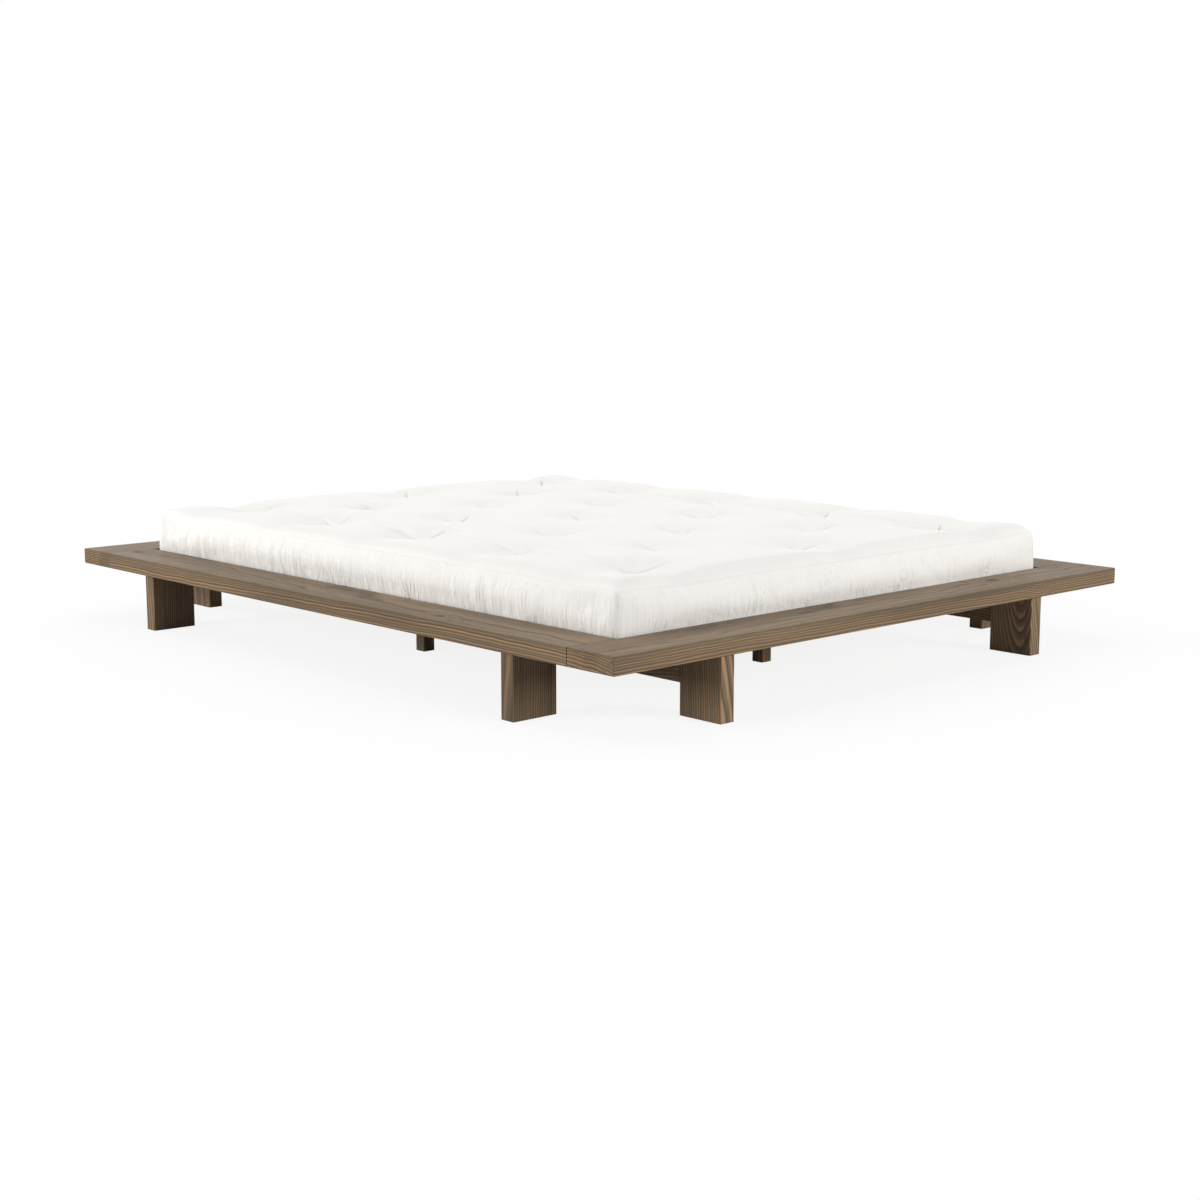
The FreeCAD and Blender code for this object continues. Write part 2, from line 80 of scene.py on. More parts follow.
class Value:
    """A shader socket that carries a number, with operators that add Math nodes."""

    def __init__(self, shader: "Shader", socket: bpy.types.NodeSocket) -> None:
        """Wrap a socket of a shader."""
        self.shader = shader
        self.socket = socket

    def __add__(self, other: "Number") -> "Value":
        """Sum of two numbers."""
        return self.shader.maths("ADD", self, other)

    def __sub__(self, other: "Number") -> "Value":
        """Difference of two numbers."""
        return self.shader.maths("SUBTRACT", self, other)

    def __rsub__(self, other: float) -> "Value":
        """Difference with the plain number first."""
        return self.shader.maths("SUBTRACT", other, self)

    def __mul__(self, other: "Number") -> "Value":
        """Product of two numbers."""
        return self.shader.maths("MULTIPLY", self, other)

    def __truediv__(self, other: "Number") -> "Value":
        """Quotient of two numbers."""
        return self.shader.maths("DIVIDE", self, other)

    __radd__ = __add__
    __rmul__ = __mul__

    def root(self) -> "Value":
        """Square root."""
        return self.shader.maths("SQRT", self)

    def fraction(self) -> "Value":
        """What is left above the whole number."""
        return self.shader.maths("FRACT", self)

    def whole(self) -> "Value":
        """The whole number below."""
        return self.shader.maths("FLOOR", self)

    def size(self) -> "Value":
        """The number without its sign."""
        return self.shader.maths("ABSOLUTE", self)

    def sine(self) -> "Value":
        """Sine of the number, in radians."""
        return self.shader.maths("SINE", self)

    def step(self, low: float, high: float) -> "Value":
        """Smooth step from 0 at low to 1 at high."""
        made = self.shader.node("ShaderNodeMapRange", {"interpolation_type": "SMOOTHSTEP"},
                                {"Value": self, "From Min": low, "From Max": high})
        return Value(self.shader, made.outputs["Result"])


Number = Union[Value, float]


class Shader:
    """A node tree under construction, for a material or for the world."""

    def __init__(self, tree: bpy.types.NodeTree) -> None:
        """Empty a tree, to fill it."""
        self.tree = tree
        self.tree.nodes.clear()

    def node(self, kind: str, settings: dict[str, Any] | None = None,
             sockets: dict[str | int, Any] | None = None) -> bpy.types.Node:
        """Add one node.

        Args:
            kind: the node's type.
            settings: its properties.
            sockets: values or links for its inputs, by name or number.

        Returns:
            The new node.
        """
        made = self.tree.nodes.new(kind)
        for name, value in (settings or {}).items():
            setattr(made, name, value)
        for key, value in (sockets or {}).items():
            source = value.socket if isinstance(value, Value) else value
            if isinstance(source, bpy.types.NodeSocket):
                self.tree.links.new(source, made.inputs[key])
            else:
                made.inputs[key].default_value = source
        return made

    def maths(self, operation: str, first: Number, second: Number = 0.0) -> Value:
        """Result of a Math node on one number or two."""
        made = self.node("ShaderNodeMath", {"operation": operation}, {0: first, 1: second})
        return Value(self, made.outputs[0])

    def vector(self, x: Number, y: Number, z: Number) -> bpy.types.NodeSocket:
        """Three numbers as a vector."""
        return self.node("ShaderNodeCombineXYZ", None, {"X": x, "Y": y, "Z": z}).outputs[0]

    def noise(self, x: Number, y: Number, z: Number, detail: float) -> Value:
        """Smooth noise, about a half on average, with one feature to each unit of place."""
        sockets = {"Vector": self.vector(x, y, z), "Scale": 1.0, "Detail": detail}
        return Value(self, self.node("ShaderNodeTexNoise", None, sockets).outputs[0])

    def noise_at(self, place: tuple[Value, Value, Value], scale: Point, detail: float) -> Value:
        """Smooth noise with so many features to a metre along each axis."""
        return self.noise(*(axis * times for axis, times in zip(place, scale)), detail)

    def chance(self, number: Value) -> Value:
        """A steady random number for each whole number."""
        made = self.node("ShaderNodeTexWhiteNoise", {"noise_dimensions": "1D"}, {"W": number})
        return Value(self, made.outputs["Value"])

    def mix(self, share: Number, first: Any, second: Any, blend: str = "MIX") -> bpy.types.NodeSocket:
        """Mix two colours.

        Args:
            share: how much of the second colour there is.
            first: a colour or a colour socket.
            second: the colour to mix in.
            blend: how the two are blended.

        Returns:
            The mixed colour.
        """
        colours = [(*c, 1.0) if isinstance(c, tuple) else c for c in (first, second)]
        made = self.node("ShaderNodeMix", {"data_type": "RGBA", "blend_type": blend},
                         {0: share, 6: colours[0], 7: colours[1]})
        return made.outputs[2]

    def object_place(self) -> tuple[Value, Value, Value]:
        """The place that is shaded.

        Returns:
            The three Object coordinates, in metres.
        """
        place = self.node("ShaderNodeTexCoord").outputs["Object"]
        split = self.node("ShaderNodeSeparateXYZ", None, {0: place})
        return tuple(Value(self, output) for output in split.outputs)

    def attribute(self, name: str) -> Value:
        """A number stored on the mesh."""
        return Value(self, self.node("ShaderNodeAttribute", {"attribute_name": name}).outputs["Fac"])

    def bump(self, height: Value, depth: float) -> bpy.types.NodeSocket:
        """A bumped normal, where the depth is what a height of 1 stands for, in metres."""
        return self.node("ShaderNodeBump", None, {"Height": height, "Distance": depth}).outputs[0]

    def surface(self, sockets: dict[str, Any]) -> None:
        """Finish the tree with a Principled surface, from values or links for its inputs."""
        made = self.node("ShaderNodeBsdfPrincipled", None, sockets)
        self.node("ShaderNodeOutputMaterial", None, {"Surface": made.outputs[0]})


def new_material(name: str) -> tuple[bpy.types.Material, Shader]:
    """Make an empty material.

    Args:
        name: the material's name.

    Returns:
        The material, and the shader that fills it.
    """
    material = bpy.data.materials.new(name)
    material.use_nodes = True
    return material, Shader(material.node_tree)


def dress(piece: bpy.types.Object, material: bpy.types.Material) -> None:
    """Give a piece, or a node of the frame, one material all over."""
    piece.data.materials.clear()
    piece.data.materials.append(material)


# Finishes

@dataclass(frozen=True)
class PineTone:
    """Colours and gloss of pine with one treatment."""

    early: Colour
    early_deep: Colour
    late: Colour
    line: Colour
    knot: Colour
    roughness: float
    gloss: float
    late_strength: float = 1.0


STAINED = PineTone(early=(0.192, 0.146, 0.102), early_deep=(0.140, 0.106, 0.074), late=(0.370, 0.224, 0.120),
                   line=(0.070, 0.054, 0.039), knot=(0.050, 0.038, 0.028), roughness=0.26, gloss=0.005)
PLANED = PineTone(early=(0.640, 0.490, 0.310), early_deep=(0.580, 0.420, 0.250), late=(0.520, 0.320, 0.150),
                  line=(0.420, 0.240, 0.105), knot=(0.230, 0.110, 0.045), roughness=0.62, gloss=0.3,
                  late_strength=0.8)
BEECH = PineTone(early=(0.560, 0.400, 0.260), early_deep=(0.520, 0.360, 0.230), late=(0.480, 0.320, 0.200),
                 line=(0.420, 0.270, 0.160), knot=(0.300, 0.180, 0.100), roughness=0.6, gloss=0.3,
                 late_strength=0.4)


@dataclass(frozen=True)
class Knot:
    """A knot through a plank, placed from the plank's middle."""

    along: float
    across: float
    radius: float


@dataclass(frozen=True)
class Sawing:
    """How a plank was cut from the log, in metres from the plank's middle."""

    pith_across: float
    pith_deep: float
    slant_across: float = 0.0
    slant_deep: float = 0.0
    ring: float = 0.008
    plain_above: float = 1.0
    knots: tuple[Knot, ...] = ()
    # painted light and shade: a brightness factor for the whole plank; the legs' values stand in for how
    # much light reaches each leg
    shade: float = 1.0
    wave: float = 1.0


@dataclass(frozen=True)
class PinePlank:
    """Pine grain for one plank, worked out from growth rings round the pith of its log."""

    node: str
    tone: PineTone
    sawing: Sawing
    seed: float
    # painted light: how much lighter the top face of a board is painted than its sides, and the depths where
    # that top face starts and is full
    painted_top_light: float = 0.42
    top_face: Span = (0.0205, 0.0218)
    late_rise: Span = (0.24, 0.42)
    late_fall: Span = (0.64, 0.76)
    late_plain: float = 0.8
    plain_fade: float = 0.006
    line_rise: Span = (0.72, 0.84)
    line_fall: Span = (0.90, 1.0)
    line_strength: float = 0.75
    ring_drift: float = 1.7
    relief_depth: float = 0.00025
    sway_reach: float = 0.026
    ripple_reach: float = 0.008
    knot_stretch: float = 1.5
    knot_reach: float = 4.5
    knot_push: float = 1.6
    knot_edge: Span = (0.7, 1.15)
    knot_rings: float = 9.0
    drift_scale: float = 0.37
    # features to a metre along the grain and across it
    streak_scale: Span = (1.9, 70.0)
    patch_scale: Span = (1.1, 9.0)
    fibre_scale: Span = (16.0, 800.0)
    sway_scale: Span = (1.3, 4.0)
    ripple_scale: Span = (7.0, 18.0)
    # noise levels where a tint starts and where it is full
    streak_step: Span = (0.26, 0.52)
    patch_step: Span = (0.28, 0.52)
    early_step: Span = (0.3, 0.75)

    def _axes(self) -> tuple[list[int], Vector]:
        """Find how the plank lies.

        Returns:
            The axes along, across and through the plank, and its middle.
        """
        low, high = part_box(self.node)
        sizes = high - low
        order = sorted(range(3), key=lambda axis: -sizes[axis])
        return order, (low + high) / 2

    def material(self) -> bpy.types.Material:
        """Build the plank's material.

        Returns:
            The material.
        """
        material, shader = new_material(f"{self.node}_pine")
        order, middle = self._axes()
        place = shader.object_place()
        along, across, deep = (place[axis] - middle[axis] for axis in order)
        radius, knot_core = self._ring_radius(shader, along, across, deep)
        years = radius / self.sawing.ring
        years = years + self.ring_drift * shader.noise(years * self.drift_scale, self.seed, 0.0, 1.0)
        turn = years.fraction()
        vigour = shader.chance(years.whole() + self.seed)

        spot = (along, across, deep)
        streak = self._grain(shader, spot, self.streak_scale, 2.0)
        patch = self._grain(shader, spot, self.patch_scale, 1.0)
        fibre = self._grain(shader, spot, self.fibre_scale, 2.0)

        late = turn.step(*self.late_rise) * (1 - turn.step(*self.late_fall))
        late = late * (0.45 + 0.55 * vigour) * streak.step(*self.streak_step)
        late = late * (0.55 + 0.45 * patch.step(*self.patch_step))
        plain = self.sawing.plain_above
        late = late * (1 - self.late_plain * deep.step(plain, plain + self.plain_fade))
        line = turn.step(*self.line_rise) * (1 - turn.step(*self.line_fall)) * (0.25 + 0.6 * vigour)

        colour = shader.mix(patch.step(*self.early_step), self.tone.early_deep, self.tone.early)
        colour = shader.mix(late * self.tone.late_strength, colour, self.tone.late)
        colour = shader.mix(line * self.line_strength, colour, self.tone.line)
        colour = shader.mix(knot_core, colour, self.tone.knot)
        # painted light: the top face of each board is made lighter, as if lit more from above
        above = deep.step(*self.top_face) if plain < 1.0 else 0.0
        # painted light and shade: the sawing's shade factor brightens or darkens the whole plank for the
        # light it gets; the fibre term is the wood's own colour
        shade = self.sawing.shade * (1 + self.painted_top_light * above) * (0.80 + 0.40 * fibre)
        colour = shader.mix(1.0, colour, shader.vector(shade, shade, shade), "MULTIPLY")

        relief = 0.5 * fibre + 0.5 * late - 0.4 * line
        shader.surface({
            "Base Color": colour,
            "Roughness": self.tone.roughness + 0.12 * (fibre - 0.5) - 0.05 * late,
            "Specular IOR Level": self.tone.gloss,
            "Normal": shader.bump(relief, self.relief_depth),
        })
        return material

    def _grain(self, shader: Shader, spot: tuple[Value, Value, Value], scale: Span, detail: float) -> Value:
        """Noise drawn out along the grain, at a spot along, across and through the plank."""
        run, fine = scale
        return shader.noise(spot[0] * run, spot[1] * fine + self.seed, spot[2] * fine, detail)

    def _ring_radius(self, shader: Shader, along: Value, across: Value, deep: Value) -> tuple[Value, Number]:
        """Distance from the pith, bent as wood grows, and the mask of the knots.

        Args:
            shader: the shader that gets the nodes.
            along: metres from the plank's middle along the grain.
            across: metres across the plank.
            deep: metres through its thickness.

        Returns:
            The distance in metres, and the knots' cores from 0 to 1.
        """
        cut = self.sawing
        side = across - cut.pith_across - cut.slant_across * along
        depth = deep - cut.pith_deep - cut.slant_deep * along
        radius = (side * side + depth * depth).root()
        sway, ripple = (shader.noise(along * run + self.seed, across * fine, deep * fine, 2.0) - 0.5
                        for run, fine in (self.sway_scale, self.ripple_scale))
        radius = radius + cut.wave * (self.sway_reach * sway + self.ripple_reach * ripple)
        core: Number = 0.0
        for knot in cut.knots:
            run = (along - knot.along) / self.knot_stretch
            off = across - knot.across
            reach = (run * run + off * off).root() / knot.radius
            push = 1 - reach.step(0.0, self.knot_reach)
            radius = radius + knot.radius * self.knot_push * push
            core = core + (1 - reach.step(*self.knot_edge)) * (0.7 + 0.3 * (reach * self.knot_rings).sine())
        return radius, core


@dataclass(frozen=True)
class ZincSteel:
    """Zinc-plated steel of plates, bolts and screws."""

    colour: Colour = (0.60, 0.61, 0.63)
    dull: Colour = (0.46, 0.47, 0.49)
    grain_depth: float = 0.00004
    cloud_scale: Point = (90.0, 90.0, 90.0)
    grain_scale: Point = (900.0, 900.0, 900.0)
    cloud_step: Span = (0.35, 0.7)

    def material(self) -> bpy.types.Material:
        """Build the material, with the faint cloudiness of plating.

        Returns:
            The material.
        """
        material, shader = new_material("zinc_steel")
        place = shader.object_place()
        cloud = shader.noise_at(place, self.cloud_scale, 3.0)
        grain = shader.noise_at(place, self.grain_scale, 1.0)
        shader.surface({
            "Base Color": shader.mix(cloud.step(*self.cloud_step), self.dull, self.colour),
            "Metallic": 1.0,
            "Roughness": 0.32 + 0.2 * cloud,
            "Normal": shader.bump(grain, self.grain_depth),
        })
        return material


@dataclass(frozen=True)
class WovenTape:
    """Cotton webbing with a herringbone weave."""

    colour: Colour = (0.72, 0.68, 0.60)
    shade: Colour = (0.52, 0.48, 0.41)
    thread: float = 0.0016
    weave_depth: float = 0.0004
    fuzz_scale: float = 700.0

    def material(self) -> bpy.types.Material:
        """Build the material from slanting rows of threads.

        Returns:
            The material.
        """
        material, shader = new_material("woven_tape")
        x, y, _ = shader.object_place()
        zigzag = ((x / (self.thread * 4)).fraction() - 0.5).size() * 4
        rows = ((y / self.thread + zigzag) * math.tau).sine() * 0.5 + 0.5
        fuzz = shader.noise(x * self.fuzz_scale, y * self.fuzz_scale, 0.0, 2.0)
        shader.surface({
            "Base Color": shader.mix(rows * 0.7 + 0.3 * fuzz, self.shade, self.colour),
            "Roughness": 0.9 - 0.1 * fuzz,
            "Normal": shader.bump(rows * 0.8 + 0.2 * fuzz, self.weave_depth),
        })
        return material


@dataclass(frozen=True)
class CottonDrill:
    """Unbleached white cotton drill of the mattress cover."""

    colour: Colour = (0.90, 0.885, 0.855)
    shade: Colour = (0.87, 0.855, 0.825)
    # also the colour of the painted shade in the tuft creases
    seam: Colour = (0.66, 0.60, 0.56)
    thread: float = 0.0011
    twill_height: float = 0.00004
    cross_height: float = 0.00003
    slub_height: float = 0.00010
    gather_height: float = 0.0040
    fold_drop: float = 0.0016
    fold_width: float = 0.045
    pucker_height: float = 0.0007
    pucker_width: Span = (0.002, 0.022)
    seam_drop: float = 0.0006
    seam_edge: Span = (0.0008, 0.0022)
    corner_edge: Span = (0.0002, 0.0014)
    boxing_edge: Span = (-0.004, 0.004)
    hang: Span = (-0.085, -0.015)
    hang_fade: float = 0.7
    top_seam: float = 0.4
    corner_seam: float = 1.1
    seam_tint: float = 0.35
    # painted shade: how much the tuft creases are darkened
    painted_crease_shade: float = 0.55
    # features to a metre along each axis
    slub_scale: Point = (240.0, 30.0, 120.0)
    cloud_scale: Point = (6.0, 6.0, 6.0)
    gather_scale: Point = (95.0, 95.0, 2.0)
    fold_scale: Point = (62.0, 62.0, 3.0)
    patch_scale: Point = (8.0, 8.0, 10.0)
    pucker_scale: Point = (170.0, 170.0, 10.0)
    # levels where a mark starts and where it is full
    patch_step: Span = (0.42, 0.62)
    dirt_step: Span = (0.25, 0.75)
    crease_shade_step: Span = (0.1, 0.9)

    def material(self) -> bpy.types.Material:
        """Build the material: twill lines, slubs, seams, gathers, puckers by the seams, and painted shade in
        the creases.

        Returns:
            The material.
        """
        material, shader = new_material("cotton_drill")
        place = x, y, z = shader.object_place()
        twill = ((x + y + z * 1.6) * (math.tau / self.thread)).sine() * 0.5 + 0.5
        cross = ((x - y) * (math.tau / self.thread)).sine() * 0.5 + 0.5
        slub = shader.noise_at(place, self.slub_scale, 3.0)
        cloud = shader.noise_at(place, self.cloud_scale, 2.0)
        from_seam = shader.attribute("from_seam")
        from_corner = shader.attribute("from_corner")
        side = 1 - from_seam.step(*self.boxing_edge)
        top_line = 1 - from_seam.size().step(*self.seam_edge)
        corner_line = (1 - from_corner.step(*self.corner_edge)) * side
        seam = shader.maths("MAXIMUM", top_line * self.top_seam, corner_line * self.corner_seam)
        gather = shader.noise_at(place, self.gather_scale, 2.0)
        hang = side * (1 - self.hang_fade * from_seam.step(*self.hang))
        fold = shader.noise_at(place, self.fold_scale, 1.0)
        patch = shader.noise_at(place, self.patch_scale, 1.0).step(*self.patch_step)
        sharp = (1 - (fold - 0.5).size().step(0.0, self.fold_width)) * patch * hang
        pucker = shader.noise_at(place, self.pucker_scale, 1.0)
        beside = 1 - from_seam.size().step(*self.pucker_width)
        dirt = 0.35 * cloud + 0.35 * slub + 0.3 * twill
        colour = shader.mix(dirt.step(*self.dirt_step), self.shade, self.colour)
        colour = shader.mix(seam * self.seam_tint, colour, self.seam)
        # painted shade: the tuft creases are darkened towards the seam colour, standing in for the shade in
        # the folds
        crease = shader.attribute("crease").step(*self.crease_shade_step)
        colour = shader.mix(crease * self.painted_crease_shade, colour, self.seam)
        weave = self.twill_height * twill + self.cross_height * cross + self.slub_height * slub
        folds = self.gather_height * gather * hang - self.fold_drop * sharp
        folds = folds + self.pucker_height * pucker * beside - self.seam_drop * seam
        shader.surface({
            "Base Color": colour,
            "Roughness": 0.86 + 0.1 * slub,
            "Specular IOR Level": 0.2,
            "Sheen Weight": 0.1,
            "Normal": shader.bump(weave + folds, 1.0),
        })
        return material


@dataclass(frozen=True)
class CottonThread:
    """Thick twisted thread of the tufts."""

    colour: Colour = (0.80, 0.77, 0.70)
    shade: Colour = (0.62, 0.58, 0.50)
    turns: float = 5200.0
    depth: float = 0.0003

    def material(self) -> bpy.types.Material:
        """Build the material, with the twist of the yarn.

        Returns:
            The material.
        """
        material, shader = new_material("tuft_thread")
        x, y, z = shader.object_place()
        twist = ((x + y * 0.6 + z) * self.turns).sine() * 0.5 + 0.5
        shader.surface({
            "Base Color": shader.mix(twist, self.shade, self.colour),
            "Roughness": 0.85 + 0.1 * twist,
            "Normal": shader.bump(twist, self.depth),
        })
        return material


# Mesh helpers

def piece_from(bm: bmesh.types.BMesh, name: str) -> bpy.types.Object:
    """Turn a finished bmesh into an object of the scene.

    Args:
        bm: the mesh, which is freed.
        name: the piece's name.

    Returns:
        The new object, at the origin.
    """
    mesh = bpy.data.meshes.new(name)
    bm.to_mesh(mesh)
    bm.free()
    made = bpy.data.objects.new(name, mesh)
    bpy.context.scene.collection.objects.link(made)
    return made


def points_of(mesh: bpy.types.Mesh) -> np.ndarray:
    """Read the points of a mesh.

    Args:
        mesh: the mesh.

    Returns:
        All its points, one to a row.
    """
    flat = np.empty(len(mesh.vertices) * 3)
    mesh.vertices.foreach_get("co", flat)
    return flat.reshape(-1, 3)


def set_points(mesh: bpy.types.Mesh, points: np.ndarray) -> None:
    """Move all points of a mesh."""
    mesh.vertices.foreach_set("co", points.ravel())
    mesh.update()


def store(mesh: bpy.types.Mesh, name: str, values: np.ndarray) -> None:
    """Keep one number for each point of a mesh."""
    attribute = mesh.attributes.new(name, "FLOAT", "POINT")
    attribute.data.foreach_set("value", values.astype(np.float32))


def read(mesh: bpy.types.Mesh, name: str) -> np.ndarray:
    """Read back one number for each point of a mesh.

    Args:
        mesh: the mesh.
        name: what the numbers were stored as.

    Returns:
        The numbers, in the order of the points.
    """
    values = np.empty(len(mesh.vertices), np.float32)
    mesh.attributes[name].data.foreach_get("value", values)
    return values.astype(float)


def smooth_step(values: np.ndarray, low: float, high: float) -> np.ndarray:
    """Smooth step from 0 at low to 1 at high."""
    share = np.clip((values - low) / (high - low), 0.0, 1.0)
    return share * share * (3 - 2 * share)


def baked(piece: bpy.types.Object) -> bpy.types.Mesh:
    """A new mesh with the piece's modifiers applied."""
    graph = bpy.context.evaluated_depsgraph_get()
    return bpy.data.meshes.new_from_object(piece.evaluated_get(graph))


# Sub-assemblies

@dataclass
class Timber:
    """All the stained and planed wood of the frame."""

    seed: int = 4
    tones: dict[Slot, PineTone] = field(default_factory=lambda: {
        Slot.STAINED: STAINED,
        Slot.PLANED: PLANED,
        Slot.BEECH: BEECH,
    })
    board_sawing: dict[str, Sawing] = field(default_factory=lambda: {
        "foot_board": Sawing(
            pith_across=0.050, pith_deep=-0.420, slant_across=0.010, slant_deep=0.004, ring=0.0068,
            plain_above=0.013, knots=(Knot(0.512, 0.022, 0.015), Knot(0.592, -0.098, 0.013))),
        "head_board": Sawing(
            pith_across=-0.060, pith_deep=-0.400, slant_across=0.008, slant_deep=0.006, ring=0.0066,
            plain_above=0.014, knots=(Knot(0.30, 0.02, 0.010),)),
        "left_side_board": Sawing(
            pith_across=0.060, pith_deep=-0.380, slant_across=0.010, slant_deep=-0.005, ring=0.0064,
            plain_above=0.014, knots=(Knot(0.967, 0.001, 0.013), Knot(-0.505, -0.031, 0.011))),
        "right_side_board": Sawing(
            pith_across=-0.050, pith_deep=-0.400, slant_across=-0.008, slant_deep=0.004, ring=0.0068,
            plain_above=0.014, knots=(Knot(-0.55, 0.01, 0.010),)),
        # painted light and shade: the legs' shade values brighten or darken each leg for the light it gets
        "foot_board_left_leg": Sawing(
            pith_across=0.120, pith_deep=-0.060, slant_across=0.05, ring=0.0070, shade=1.08, wave=0.4),
        "foot_board_right_leg": Sawing(
            pith_across=-0.030, pith_deep=0.026, slant_deep=-0.20, ring=0.0075, shade=1.24, wave=0.7),
        "left_side_foot_leg": Sawing(
            pith_across=0.150, pith_deep=-0.040, slant_across=0.02, ring=0.0065, shade=0.80, wave=0.4),
        "left_side_head_leg": Sawing(
            pith_across=-0.140, pith_deep=-0.050, slant_across=0.03, ring=0.0065, shade=0.95, wave=0.4),
    })
    any_pith_across: Span = (-0.09, 0.09)
    any_pith_deep: Span = (-0.09, -0.04)
    any_slant_across: Span = (-0.12, 0.12)
    any_slant_deep: Span = (-0.06, 0.06)
    any_ring: Span = (0.0068, 0.0085)
    most_shift: float = 90.0

    def dress(self) -> None:
        """Give every wooden node its own plank material."""
        chance = random.Random(self.seed)
        for name, node in sorted(frame["nodes"].items()):
            tone = self.tones.get(SLOT_OF[name])
            if tone is None:
                continue
            sawing = self.board_sawing.get(name) or self._any_sawing(chance)
            dress(node, PinePlank(name, tone, sawing, chance.uniform(0, self.most_shift)).material())
            LOG.info("wood: %s", name)

    def _any_sawing(self, chance: random.Random) -> Sawing:
        """How a plank from anywhere in the log was sawn, drawn from a seeded source."""
        return Sawing(
            pith_across=chance.uniform(*self.any_pith_across),
            pith_deep=chance.uniform(*self.any_pith_deep),
            slant_across=chance.uniform(*self.any_slant_across),
            slant_deep=chance.uniform(*self.any_slant_deep),
            ring=chance.uniform(*self.any_ring))


@dataclass
class FutonMattress:
    """The futon mattress: a boxed cotton cover, puffed up between sewn tufts."""

    node: str = "futon_mattress"
    board: str = "foot_board"
    seed: int = 11
    # box and crown
    mesh_step: float = 0.016
    side_room: float = 0.004
    boxing: float = 0.127
    crown: float = 0.017
    crown_width: float = 0.070
    corner: float = 0.008
    edge_roll: float = 0.014
    lean: float = 0.004
    bulge: float = 0.016
    bulge_from_share: float = 0.22
    corner_hold: float = 0.30
    # room between the boards and over them
    board_gap: float = 0.0045
    overhang: float = 0.016
    overhang_gap: float = 0.002
    overhang_height: float = 0.060
    ease: float = 0.0025
    # tufts, and the dips between them and the edges
    tuft_side_margin: float = 0.215
    tuft_end_margin: float = 0.170
    tuft_depth: float = 0.019
    tuft_reach: float = 0.055
    tuft_clear: float = 0.1
    edge_dip: float = 0.50
    edge_dip_width: float = 0.075
    edge_dip_run: float = 0.06
    fine_reach: float = 0.095
    # creases that run out from the tufts
    crease_arms: int = 4
    crease_turn: float = 0.35
    crease_stray: float = 0.3
    crease_lengths: Span = (0.07, 0.16)
    crease_bend: float = 3.0
    crease_depth: float = 0.009
    crease_depth_shares: Span = (0.35, 1.0)
    crease_start: float = -0.004
    crease_width: float = 0.0035
    crease_flare: float = 0.02
    crease_clear: float = 0.02
    # gathers in the boxing, and the groove of its seam
    roll_height: float = 0.0020
    fold_height: float = 0.0012
    fold_crease: float = 0.0050
    fold_width: float = 0.14
    fold_gain: float = 3.0
    gather_top: float = 0.2
    gather_growth: float = 1.1
    patch_share: float = 0.2
    roll_scale: Point = (30.0, 1.5, 0.0)
    fold_scale: Point = (52.0, 2.0, 9.0)
    patch_scale: Point = (7.0, 5.0, 31.0)
    seam_groove: float = 0.0006
    seam_width: float = 0.006
    # thread stitches
    stitch: Point = (0.006, 0.0011, 0.0011)
    stitch_gap: float = 0.0014
    stitch_lift: float = 0.0008
    # cloth simulation
    frames: int = 20
    quality: int = 6
    pressure: float = 3.0
    slack: float = 0.003
    mass: float = 0.3
    stretch_stiffness: float = 40.0
    shear_stiffness: float = 10.0
    bend_stiffness: float = 1.0
    most_swell: float = 0.006
    pinned_share: float = 0.4
    sewn_share: float = 0.75

    def __post_init__(self) -> None:
        """Take the size and place of the solid that the mattress stands for."""
        low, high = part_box(self.node)
        self.floor = low.z
        self.upper_half = self.floor + self.boxing / 2
        self.overhang_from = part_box(self.board)[1].z + self.overhang_gap
        self.half = np.array([high.x + self.side_room, high.y + self.side_room])
        column = high.x - self.tuft_side_margin
        row = (high.y - self.tuft_end_margin) / 2
        threes = [(i * column, j * row) for i in (-1, 0, 1) for j in (-2, -1, 0, 1, 2)]
        pairs = [(i * column / 2, j * row / 2) for i in (-1, 1) for j in (-3, -1, 1, 3)]
        self.tufts = np.array(threes + pairs)

    def build(self) -> bpy.types.Object:
        """Make the mattress and put it in the place of its solid.

        Returns:
            The finished piece.
        """
        piece = piece_from(self._box(), "futon_mattress_cover")
        flat = points_of(piece.data)
        self._mark(piece.data, flat)
        rest = self._cushion(flat)
        set_points(piece.data, rest)
        self._puff(piece, rest)
        self._refine(piece)
        self._sew(piece)
        for polygon in piece.data.polygons:
            polygon.use_smooth = True
        dress(piece, CottonDrill().material())
        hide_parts(self.node)
        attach(piece, "mattress")
        return piece

    def build_stitches(self, cover: bpy.types.Object) -> bpy.types.Object:
        """Make the short thread stitches that hold the tufts.

        Args:
            cover: the finished cover.

        Returns:
            All stitches as one piece.
        """
        chance = random.Random(self.seed)
        points = points_of(cover.data)
        points = points[points[:, 2] > self.upper_half]
        bm = bmesh.new()
        for tuft in self.tufts:
            height = points[np.hypot(*(points[:, :2] - tuft).T).argmin(), 2]
            middle = Matrix.Translation((tuft[0], tuft[1], height + self.stitch_lift))
            middle = middle @ Matrix.Rotation(chance.uniform(0, math.pi), 4, "Z")
            for side in (-1, 1):
                aside = Matrix.Translation((0, side * self.stitch_gap, 0))
                place = middle @ aside @ Matrix.Diagonal((*self.stitch, 1))
                bmesh.ops.create_uvsphere(bm, u_segments=8, v_segments=6, radius=1.0, matrix=place)
        stitches = piece_from(bm, "tuft_stitches")
        dress(stitches, CottonThread().material())
        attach(stitches, "mattress")
        return stitches

